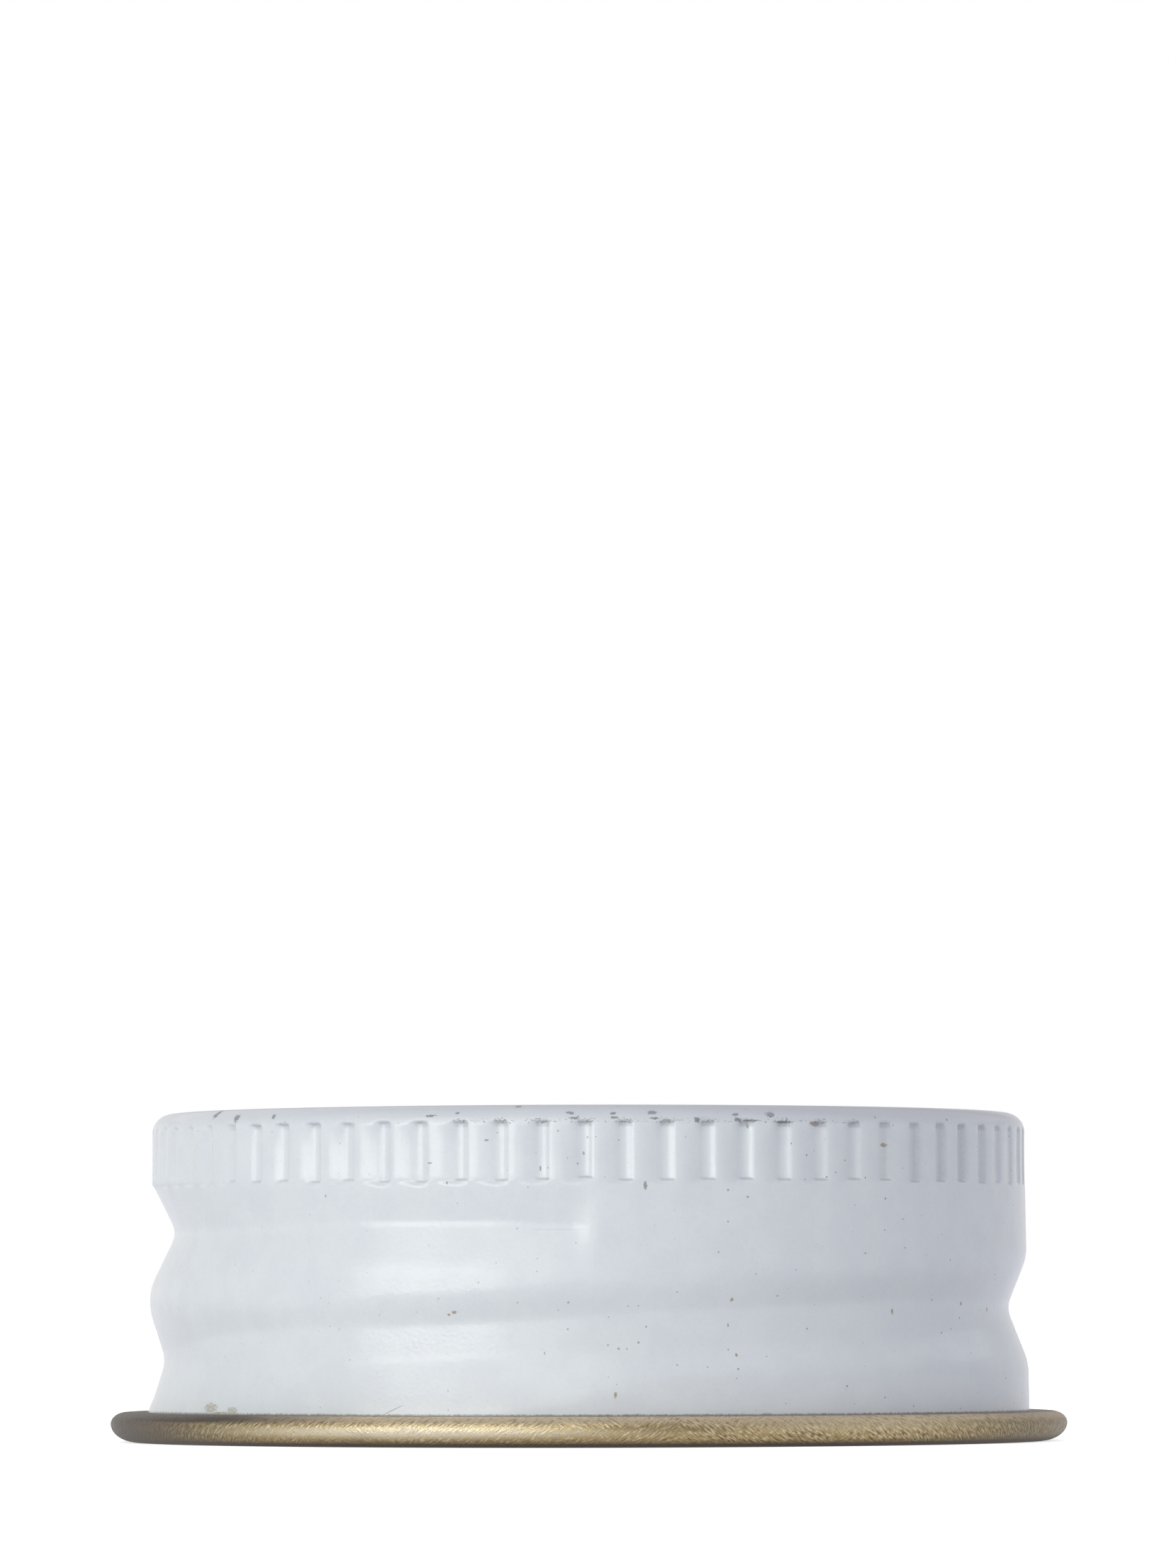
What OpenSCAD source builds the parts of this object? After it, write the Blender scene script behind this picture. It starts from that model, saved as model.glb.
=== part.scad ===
// Screw cap for a one-turn continuous-thread bottle neck, pressed and rolled from one disc of
// tinplate, with a loose sealing disc under its top panel. Millimetres, +Z up. The origin is the
// middle of the ring that the cap stands on, and angles count anticlockwise from -Y, seen from above.

/* [Cap] */
// Outside diameter of the crown, measured over the knurled lands
cap_d = 28.6; // [27.6:0.2:33]
// Height from the foot of the curl to the top panel
cap_h = 10.7; // [10.2:0.1:14]
// Thickness of the tinplate
sheet = 0.24; // [0.18:0.02:0.28]
// Outside radius of the rounded shoulder
shoulder_r = 0.64; // [0.4:0.04:1]
// How much the skirt widens in radius from the crown to the foot
skirt_flare = 0.12; // [0:0.02:0.3]

/* [Knurls] */
// Number of pressed slots round the crown
knurl_n = 69; // [48:1:76]
// Depth of a slot below the lands
knurl_depth = 0.15; // [0.1:0.01:0.2]
// Width of the long shallow side that leads from the land down to a slot's floor
knurl_lead_w = 0.56; // [0.4:0.02:0.6]
// Width of a slot's floor
knurl_floor_w = 0.12; // [0.06:0.02:0.16]
// Width of the short steep side that climbs back to the next land
knurl_back_w = 0.26; // [0.18:0.02:0.32]
// Length of a slot, its sloping upper end included
knurl_len = 1.87; // [1.2:0.01:2]
// Height of the sloping ledge at a slot's upper end
knurl_ledge = 0.13; // [0.04:0.01:0.2]
// Distance from the top panel down to the upper ends of the slots
knurl_drop = 0.48; // [0.44:0.02:0.8]
// Angle from the front to the middle of the nearest slot
knurl_turn = -0.6; // [-2.5:0.1:2.5]

/* [Thread] */
// Rise of the rolled groove in one turn
thread_pitch = 4.18; // [3.6:0.02:4.4]
// Distance from the lower ends of the slots down to the groove's floor a full turn on
thread_drop = 1.54; // [1.4:0.02:1.9]
// How far the groove still rises after that, to its level upper end at the front
thread_lift = 0.16; // [0:0.02:0.2]
// Depth of the groove where it first passes the left side
thread_depth_low = 0.5; // [0.3:0.02:0.7]
// Depth of the groove where it first crosses the front
thread_depth_front = 0.3; // [0.2:0.02:0.6]
// Depth of the groove on the right side, half a turn on
thread_depth_mid = 0.63; // [0.4:0.01:0.8]
// Depth of the groove a full turn on, where it is deepest
thread_depth_high = 0.8; // [0.5:0.05:0.9]
// Depth of the level upper end
thread_depth_end = 0.28; // [0.2:0.02:0.5]
// Axial length of the flank above the groove's floor
flank_up = 1.97; // [1.6:0.01:2.1]
// Axial length of the flank below the groove's floor
flank_down = 2.13; // [1.7:0.01:2.2]
// Axial length of both flanks where the groove first crosses the front
flank_front = 1.45; // [1.1:0.05:1.9]
// Axial length of the upper flank from a full turn on, where it reaches up to the slots
flank_top = 1.65; // [1.4:0.05:1.9]
// Half the width of the groove's flat floor across the front
floor_half_w = 0.46; // [0:0.02:0.7]
// How far the groove sags below a true helix half a turn on
thread_sag = 0.34; // [0:0.02:0.5]

/* [Curl] */
// Height of the rolled curl
curl_h = 0.98; // [0.9:0.02:1.2]
// How far the curl stands out from the skirt's foot
curl_out = 1.23; // [1:0.01:1.6]
// Gap between the curl's cut edge and the skirt
curl_gap = 0.05; // [0.03:0.01:0.12]

/* [Liner] */
// Thickness of the sealing disc
liner_t = 1; // [0.6:0.1:1.4]
// Gap between the sealing disc's edge and the knurls pressed in around it
liner_gap = 0.76; // [0.3:0.02:1.2]

/* [Hidden] */
$fn = 96;

enamel = [0.87, 0.9, 0.91];
lacquer = [0.66, 0.56, 0.36];
board = [0.84, 0.8, 0.7];

// Crown
crown_r = cap_d / 2;
crown_in_r = crown_r - sheet;
knurl_top = cap_h - knurl_drop;
knurl_foot = knurl_top - knurl_len;
crown_below = 0.07;                 // the crown reaches this far below the slots
bump_below = 0.05;                  // and the bumps that they press inside, this far
crown_z = knurl_foot - crown_below;
lead_run = knurl_lead_w / knurl_depth;  // sideways run of a slot's sides for their depth
back_run = knurl_back_w / knurl_depth;
lead_grow = sheet * tan(atan(1 / lead_run) / 2);   // how much wider the floor is on the sheet's inside
back_grow = sheet * tan(atan(1 / back_run) / 2);
ledge_slope = knurl_ledge / knurl_depth;
cutter_reach = 0.05;                // how far a slot's cutter stands out past the lands
bump_overlap = 0.04;                // how deep a pressed bump is rooted in the wall

// Foot and curl
foot_r = crown_r + skirt_flare;
foot_in_r = foot_r - sheet;
foot_z = curl_h + 0.22;             // top of the plain ring above the curl
nose_r = foot_r + curl_out;
nose_z = 0.61 * curl_h;             // the curl is flattened, with its nose above half its height
nose_over_w = 0.41 * curl_out;      // run of the tight bend over the nose
nose_under_w = 0.715 * curl_out;    // run of the slack bend under it
mouth_bend_r = sheet + 0.21 * curl_out;
bend_steps = 9;

// Rolled groove, followed as one angle that counts on through its turns
groove_start = -200;
groove_low = -90;
groove_front = [-30, 0];
groove_mid = 90;
groove_high = 270;
groove_level = [305, 330];          // where it rises to its level upper end
groove_end = 361;
end_ramp = 8;                       // length in degrees of the steep upper end
groove_high_z = knurl_foot - thread_drop;
groove_low_z = groove_high_z - thread_pitch;
top_fade = 45;                      // degrees over which the upper flank shortens towards the slots
crest_round = 0.32;                 // share of a flank taken by the rounding at the skirt
floor_round = 0.16;                 // share of a flank taken by the rounding at the floor
wide_half = 88;                     // degrees to either side of the front with a flat floor
wide_fade = 45;
foot_fade = 0.8;                    // height over which the groove fades out above the foot

// Mesh of the rolled skirt
columns = 80;
row_step = 0.28;
rows = ceil((crown_z - foot_z) / row_step);
seat = 0.04;                        // the skirt's last rows stop this far from the rings it joins
collar = 0.06;                      // and its collars reach this far into them, clear of the slots
collar_in = 0.07;                   // lying this far under the rings' faces

function clamp(t) = max(0, min(1, t));
function smooth(t) = clamp(t) * clamp(t) * (3 - 2 * clamp(t));
function mix(share, first, second) = first + (second - first) * share;

// Flank from the skirt (0) to the floor (1): straight, with a rounded start and end
function flank(t) =
    let (u = clamp(t), k = 1 / (1 - crest_round / 2 - floor_round / 2))
    u < crest_round ? k * u * u / (2 * crest_round)
    : u > 1 - floor_round ? 1 - k * (1 - u) * (1 - u) / (2 * floor_round)
    : k * (u - crest_round / 2);

// Height of the groove's floor at an angle: a helix that sags a little, levels out after a turn
// and lifts once more before its end
function groove_z(a) =
    min(groove_low_z + thread_pitch * (a - groove_low) / 360 - thread_sag * (1 - cos(a - groove_low)) / 2,
        groove_high_z)
    + thread_lift * smooth((a - groove_level[0]) / (groove_level[1] - groove_level[0]));

// Depth of the groove along its run, faded in at the start and steeply out at the end
function groove_depth(a) =
    a < groove_start ? 0
    : smooth((groove_end - a) / end_ramp)
      * lookup(a, [[groove_start, 0], [groove_low, thread_depth_low],
                   [groove_front[0], thread_depth_front], [groove_front[1], thread_depth_front],
                   [groove_mid, thread_depth_mid], [groove_high, thread_depth_high],
                   [groove_level[1], thread_depth_end], [groove_end, thread_depth_end]]);

// Share of the groove's depth at a height above its floor
function groove_share(a, dz) =
    let (front = smooth((wide_half - abs(a)) / wide_fade),
         w = floor_half_w * front,
         up = mix(smooth((a - groove_high) / top_fade + 1), mix(front, flank_up, flank_front), flank_top),
         down = mix(front, flank_down, flank_front))
    dz > w ? flank(1 - (dz - w) / up)
    : dz < -w ? flank(1 + (dz + w) / down)
    : 1;

// Depth pressed into the skirt at an angle and height, with every pass of the groove added
function pressed(a, z) =
    smooth((z - curl_h) / foot_fade)
    * (groove_depth(a - 360) * groove_share(a - 360, z - groove_z(a - 360))
       + groove_depth(a) * groove_share(a, z - groove_z(a))
       + groove_depth(a + 360) * groove_share(a + 360, z - groove_z(a + 360)));

function skirt_r(a, z) = crown_r + skirt_flare * (crown_z - z) / (crown_z - foot_z) - pressed(a, z);

function at(a, r, z) = [r * sin(a), -r * cos(a), z];

// Outline of the skirt's section at one angle: up the outside and down the inside
function skirt_section(a) =
    let (zs = [for (i = [0:rows]) foot_z + seat + (crown_z - foot_z - 2 * seat) * i / rows])
    concat(
        [at(a, foot_r - collar_in, foot_z - collar)],
        [for (z = zs) at(a, skirt_r(a, z), z)],
        [at(a, crown_r - collar_in, crown_z + collar)],
        [at(a, crown_in_r + collar_in, crown_z + collar)],
        [for (i = [rows:-1:0]) at(a, skirt_r(a, zs[i]) - sheet, zs[i])],
        [at(a, foot_in_r + collar_in, foot_z - collar)]);

// Points along an ellipse between two angles
function bend(x, y, rx, ry, a0, a1) =
    [for (i = [0:bend_steps])
        let (t = a0 + (a1 - a0) * i / bend_steps)
        [x + rx * cos(t), y + ry * sin(t)]];

// Skirt between the crown and the foot, with the thread rolled through the sheet
module rolled_skirt() {
    points = [for (c = [0:columns - 1]) each skirt_section(360 * c / columns)];
    n = len(points) / columns;
    half = n / 2;
    faces = [
        for (c = [0:columns - 1], i = [0:n - 1])
            let (p = c * n + i,
                 q = c * n + (i + 1) % n,
                 s = (c + 1) % columns * n + i,
                 t = (c + 1) % columns * n + (i + 1) % n)
            each i < half ? [[p, q, t], [p, t, s]] : [[p, q, s], [q, t, s]]
    ];
    polyhedron(points, faces);
}

// Prism with a slot's section, from its floor out to a radius: the lead on the left of the floor,
// seen from outside, and the back on its right
module slot_prism(floor_r, out_r, lead_extra, back_extra, z0, z1) {
    lead_w = knurl_floor_w / 2 + lead_extra;
    back_w = knurl_floor_w / 2 + back_extra;
    height = out_r - floor_r;
    translate([0, 0, z0])
        linear_extrude(z1 - z0)
            polygon([[floor_r, -lead_w], [out_r, -lead_w - lead_run * height],
                     [out_r, back_w + back_run * height], [floor_r, back_w]]);
}

module round_the_crown() {
    for (i = [0:knurl_n - 1])
        rotate(360 * i / knurl_n + knurl_turn - 90)
            children();
}

// All the slots, with their upper ends cut to one sloping ledge
module slots() {
    floor_r = crown_r - knurl_depth;
    ring_in = floor_r - cutter_reach;
    ring_out = crown_r + 2 * cutter_reach;
    intersection() {
        round_the_crown()
            slot_prism(floor_r, crown_r + cutter_reach, 0, 0, knurl_foot, cap_h);
        rotate_extrude()
            polygon([[ring_in, crown_z], [ring_out, crown_z],
                     [ring_out, knurl_top + ledge_slope * (ring_out - crown_r)],
                     [ring_in, knurl_top + ledge_slope * (ring_in - crown_r)]]);
    }
}

module crown_profile(r, top, radius) {
    translate([0, crown_z]) square([r, top - radius - crown_z]);
    translate([0, crown_z]) square([r - radius, top - crown_z]);
    translate([r - radius, top - radius]) circle(radius);
}

// Top panel, shoulder and knurled band
module crown() {
    difference() {
        rotate_extrude() crown_profile(crown_r, cap_h, shoulder_r);
        difference() {
            translate([0, 0, -sheet])
                rotate_extrude() crown_profile(crown_in_r, cap_h, shoulder_r - sheet);
            round_the_crown()
                slot_prism(crown_in_r - knurl_depth, crown_in_r + bump_overlap, lead_grow, back_grow,
                           knurl_foot - bump_below, knurl_top);
        }
        slots();
    }
}

// Plain ring at the mouth, and the sheet below it rolled outwards into a hollow curl
module foot() {
    mouth_x = foot_in_r + mouth_bend_r;
    under_x = nose_r - nose_under_w;
    over_x = nose_r - nose_over_w;
    over_h = curl_h - nose_z;
    rotate_extrude()
        polygon(concat(
            [[foot_in_r, foot_z]],
            bend(mouth_x, mouth_bend_r, mouth_bend_r, mouth_bend_r, 180, 270),
            bend(under_x, nose_z, nose_under_w, nose_z, 270, 360),
            bend(over_x, nose_z, nose_over_w, over_h, 0, 90),
            [[foot_r + curl_gap, curl_h], [foot_r + curl_gap, curl_h - sheet]],
            bend(over_x, nose_z, nose_over_w - sheet, over_h - sheet, 90, 0),
            bend(under_x, nose_z, nose_under_w - sheet, nose_z - sheet, 360, 270),
            bend(mouth_x, mouth_bend_r, mouth_bend_r - sheet, mouth_bend_r - sheet, 270, 180),
            [[foot_r, foot_z]]));
}

module shell() {
    color(enamel) {
        crown();
        rolled_skirt();
    }
    color(lacquer) foot();
}

// Sealing disc, held under the top panel
module liner() {
    color(board)
        translate([0, 0, cap_h - sheet - liner_t])
            cylinder(h = liner_t, r = crown_in_r - knurl_depth - liner_gap);
}

shell();
liner();
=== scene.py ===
# Screw cap of enamelled tinplate with a pulpboard sealing disc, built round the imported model.
# Lengths in the dictionaries are millimetres and angles are degrees, counted anticlockwise from
# the front (-Y) as seen from above. Names there that end in Run hold a pair: where a step starts
# and how far it goes. Those that end in Span hold two: start and length of a step up, then end and
# length of a step down. Those that end in Ramp or Heights hold the limits of a smooth step in a
# finish, and two more values where it doesn't go from 0 to 1.
import math

import bpy
import numpy as np
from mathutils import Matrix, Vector


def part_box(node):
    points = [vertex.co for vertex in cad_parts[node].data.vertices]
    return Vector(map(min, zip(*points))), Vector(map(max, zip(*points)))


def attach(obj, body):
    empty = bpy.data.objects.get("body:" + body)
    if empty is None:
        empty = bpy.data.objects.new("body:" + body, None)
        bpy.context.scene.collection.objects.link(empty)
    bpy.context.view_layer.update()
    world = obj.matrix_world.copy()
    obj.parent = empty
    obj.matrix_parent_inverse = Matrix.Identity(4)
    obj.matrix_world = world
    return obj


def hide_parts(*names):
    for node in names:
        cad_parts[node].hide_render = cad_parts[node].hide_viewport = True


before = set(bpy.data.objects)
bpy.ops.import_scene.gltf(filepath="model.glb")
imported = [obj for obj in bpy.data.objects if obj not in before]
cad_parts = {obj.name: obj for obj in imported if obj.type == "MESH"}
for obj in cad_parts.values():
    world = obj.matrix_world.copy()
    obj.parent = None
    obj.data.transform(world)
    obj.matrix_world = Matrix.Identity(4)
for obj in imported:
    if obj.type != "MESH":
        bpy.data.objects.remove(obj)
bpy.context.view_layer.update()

mm = 0.001
scene = bpy.context.scene


def between(share, first, second):
    # first + share x (second - first)
    return first + (second - first) * share


def step(value, start, run):
    # 3t^2 - 2t^3 of t, the share of the run that value has gone past start, held within 0 to 1.
    # With a negative run it steps down as value grows, and is over at start
    share = np.clip((value - start) / run, 0, 1)
    return share * share * (3 - 2 * share)


def window(value, start, run, end, fall):
    # a step up from start, times a step down that is over at end
    return step(value, start, run) * step(value, end, -fall)


def pole(height):
    # a ring of one point on the axis
    return np.array([[0.0, 0.0, height]])


def lessened(value, place, losses):
    # value x (1 - loss x step of the place), once for each (start, run, loss)
    for start, run, loss in losses:
        value = value * (1 - loss * step(place, start, run))
    return value


def foldedBack(angle):
    # the angle itself across the front half and mirrored across the back half, so that whatever
    # is read from it meets itself behind
    return 90 - np.abs(np.mod(angle + 90, 360) - 180)


def evenAngles(start, count):
    # start + 360 k / count
    return start + 360 * np.arange(count) / count


def ringPoints(angle, radius, height):
    # x = radius sin(angle), y = -radius cos(angle), z = height, on whole arrays
    turn = np.radians(angle)
    return np.stack(np.broadcast_arrays(radius * np.sin(turn), -radius * np.cos(turn), height), axis=-1)


def ellipse(x, y, runX, runY, first, last, count):
    # points (x + runX cos t, y + runY sin t), with t evenly spaced from first to last
    turn = np.radians(np.linspace(first, last, count))
    return np.stack([x + runX * np.cos(turn), y + runY * np.sin(turn)], 1)


class Rings:
    # the closed rings of one piece in their order, the kind of finish on the strip after each, and
    # a value for each of their points under each mark
    def __init__(self, *marks):
        self.points, self.kinds = [], []
        self.marks = {mark: [] for mark in marks}

    def lay(self, points, kind=0, **values):
        self.points.append(points)
        self.kinds.append(kind)
        for mark, held in self.marks.items():
            held.append(np.broadcast_to(values.get(mark, 0.0), len(points)))


def stitch(rings, kinds):
    # joins each closed ring of points to the next: four-sided faces between rings of one count,
    # and between rings of different counts a triangle on each edge of either ring, its far corner
    # being the point that the other ring has reached at the middle of that edge. A ring of one
    # point is a pole
    counts = [len(ring) for ring in rings]
    starts = np.cumsum([0] + counts)
    faces, faceKinds = [], []
    for count, farCount, start, farStart, kind in zip(counts, counts[1:], starts, starts[1:], kinds):
        near, far = np.arange(count), np.arange(farCount)
        nearNext, farNext = start + (near + 1) % count, farStart + (far + 1) % farCount
        if count == farCount:
            made = [np.stack([start + near, farStart + far, farNext, nearNext], 1)]
        else:
            nearMiddle, farMiddle = (near + 0.5) / count, (far + 0.5) / farCount
            across = farStart + np.searchsorted(farMiddle, nearMiddle, "right") % farCount
            back = start + np.searchsorted(nearMiddle, farMiddle, "left") % count
            made = [np.stack([start + near, across, nearNext], 1)] if count > 1 else []
            made += [np.stack([back, farStart + far, farNext], 1)] if farCount > 1 else []
        for part in made:
            faces += part.tolist()
            faceKinds.append(np.full(len(part), kind))
    return np.concatenate(rings), faces, np.concatenate(faceKinds)


def makePiece(name, rings, finishes):
    # one smooth mesh from stitched rings, with their marks as attributes of its points
    points, faces, faceKinds = stitch(rings.points, rings.kinds)
    mesh = bpy.data.meshes.new(name)
    mesh.from_pydata((points * mm).tolist(), [], faces)
    mesh.polygons.foreach_set("material_index", faceKinds.astype(np.int32))
    mesh.polygons.foreach_set("use_smooth", np.ones(len(faces), bool))
    for mark, values in rings.marks.items():
        layer = mesh.attributes.new(mark, "FLOAT", "POINT")
        layer.data.foreach_set("value", np.concatenate(values).astype(np.float32))
    for finish in finishes:
        mesh.materials.append(finish.owner)
    mesh.update()
    piece = bpy.data.objects.new(name, mesh)
    scene.collection.objects.link(piece)
    triangles = sum(len(face) - 2 for face in faces)
    print(f"{name}: {len(points)} points, {triangles} triangles")
    return piece


class Signal:
    # one output socket of a finish; arithmetic on it adds Math nodes
    def __init__(self, finish, socket):
        self.finish, self.socket = finish, socket

    def __add__(self, other):
        return self.finish.maths("ADD", self, other)

    def __sub__(self, other):
        return self.finish.maths("SUBTRACT", self, other)

    def __rsub__(self, other):
        return self.finish.maths("SUBTRACT", other, self)

    def __mul__(self, other):
        return self.finish.maths("MULTIPLY", self, other)

    def __truediv__(self, other):
        return self.finish.maths("DIVIDE", self, other)

    def __rtruediv__(self, other):
        return self.finish.maths("DIVIDE", other, self)

    __radd__ = __add__
    __rmul__ = __mul__

    def min(self, other):
        return self.finish.maths("MINIMUM", self, other)

    def max(self, other):
        return self.finish.maths("MAXIMUM", self, other)

    def ramp(self, low, high, toLow=0.0, toHigh=1.0):
        # smooth step from toLow at low to toHigh at high
        settings = {"interpolation_type": "SMOOTHSTEP"}
        return self.finish.node("ShaderNodeMapRange", settings,
                                {0: self, 1: low, 2: high, 3: toLow, 4: toHigh})

    def out(self, name):
        # another output of the same node
        return Signal(self.finish, self.socket.node.outputs[name])


class Finish:
    # the nodes of one material or world, and the only way to add to them
    def __init__(self, owner):
        owner.use_nodes = True
        self.owner, self.tree = owner, owner.node_tree
        self.tree.nodes.clear()

    def node(self, kind, settings=None, sockets=None, output=0):
        # its settings first, then a value or a link for each socket
        node = self.tree.nodes.new(kind)
        for key, value in (settings or {}).items():
            setattr(node, key, value)
        for key, value in (sockets or {}).items():
            if isinstance(value, Signal):
                self.tree.links.new(value.socket, node.inputs[key])
            else:
                node.inputs[key].default_value = value
        return Signal(self, node.outputs[output]) if len(node.outputs) else None

    def maths(self, operation, *values):
        return self.node("ShaderNodeMath", {"operation": operation}, dict(enumerate(values)))

    def mix(self, share, first, second):
        # colours: first where share is 0, second where it is 1
        first, second = [c if isinstance(c, Signal) else (*c, 1) for c in (first, second)]
        return self.node("ShaderNodeMix", {"data_type": "RGBA", "clamp_factor": True},
                         {0: share, 6: first, 7: second}, 2)

    def layered(self, colour, *layers):
        # each (share, colour) laid over those before it
        for share, over in layers:
            colour = self.mix(share, colour, over)
        return colour

    def places(self):
        # object position in millimetres
        inMetres = self.node("ShaderNodeTexCoord", output="Object")
        return self.node("ShaderNodeVectorMath", {"operation": "SCALE"}, {0: inMetres, "Scale": 1 / mm})

    def apart(self, point):
        return self.node("ShaderNodeSeparateXYZ", sockets={0: point})

    def flat(self, across, up):
        return self.node("ShaderNodeCombineXYZ", sockets={0: across, 1: up})

    def mark(self, name):
        return self.node("ShaderNodeAttribute", {"attribute_name": name}, output="Fac")

    def around(self, axes):
        # the angle round the axis from the front in radians, and the same mirrored across the back
        # half, so that a pattern read from it meets itself behind
        angle = self.maths("ARCTAN2", axes.out("X"), axes.out("Y") * -1)
        quarter = math.pi / 2
        return angle, self.maths("PINGPONG", angle + quarter, math.pi) - quarter

    def noise(self, point, scale, detail, rough):
        return self.node("ShaderNodeTexNoise", {"noise_dimensions": "3D"},
                         {"Vector": point, "Scale": scale, "Detail": detail, "Roughness": rough})

    def turned(self, point, angle, scale, move=(0, 0, 0)):
        # moved, turned about Z and then scaled along each axis
        kind, settings = "ShaderNodeMapping", {"vector_type": "POINT"}
        moved = self.node("ShaderNodeVectorMath", {"operation": "ADD"}, {0: point, 1: move})
        turned = self.node(kind, settings, {"Vector": moved, "Rotation": (0, 0, math.radians(angle))})
        return self.node(kind, settings, {"Vector": turned, "Scale": scale})

    def length(self, vector):
        return self.node("ShaderNodeVectorMath", {"operation": "LENGTH"}, {0: vector}, "Value")

    def surface(self, sockets, heights=None, bumps=None):
        # the finish's shader, with each height laid on the one before as a bump of (strength,
        # distance)
        normal = {}
        for name, (strength, distance) in (bumps or {}).items():
            held = {"Height": heights[name], "Strength": strength, "Distance": distance * mm, **normal}
            normal = {"Normal": self.node("ShaderNodeBump", sockets=held)}
        shader = self.node("ShaderNodeBsdfPrincipled", sockets={**sockets, **normal})
        self.node("ShaderNodeOutputMaterial", sockets={"Surface": shader})
        return self


def patchCover(finish, point, patches, ragged, edge=(1.15, 0.75)):
    # smooth step of the distance to the nearest of some small ellipses, in their half-widths, made
    # uneven by a noise: 0 at the first value of edge and 1 at the second. A patch is its angle,
    # height, half angle and half height
    nearest = None
    for angle, height, halfAngle, halfHeight in patches:
        scaled = finish.node("ShaderNodeVectorMath", {"operation": "MULTIPLY_ADD"},
                             {0: point, 1: (1 / halfAngle, 1 / halfHeight, 0),
                              2: (-angle / halfAngle, -height / halfHeight, 0)})
        away = finish.length(scaled)
        nearest = away if nearest is None else nearest.min(away)
    return (nearest + ragged).ramp(*edge)


def strokeCover(finish, point, first, last, halfWidth, radius, edge=(1.1, 0.7)):
    # smooth step of the distance to a long thin ellipse between two (angle, height) places on the
    # wall, in its half-widths
    firstX, firstY = math.radians(first[0]) * radius, first[1]
    lastX, lastY = math.radians(last[0]) * radius, last[1]
    runX, runY = (lastX - firstX) / 2, (lastY - firstY) / 2
    middle = (-(firstX + lastX) / 2, -(firstY + lastY) / 2, 0)
    turned = finish.turned(point, -math.degrees(math.atan2(runY, runX)),
                           (1 / math.hypot(runX, runY), 1 / halfWidth, 1), middle)
    return finish.length(turned).ramp(*edge)


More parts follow.
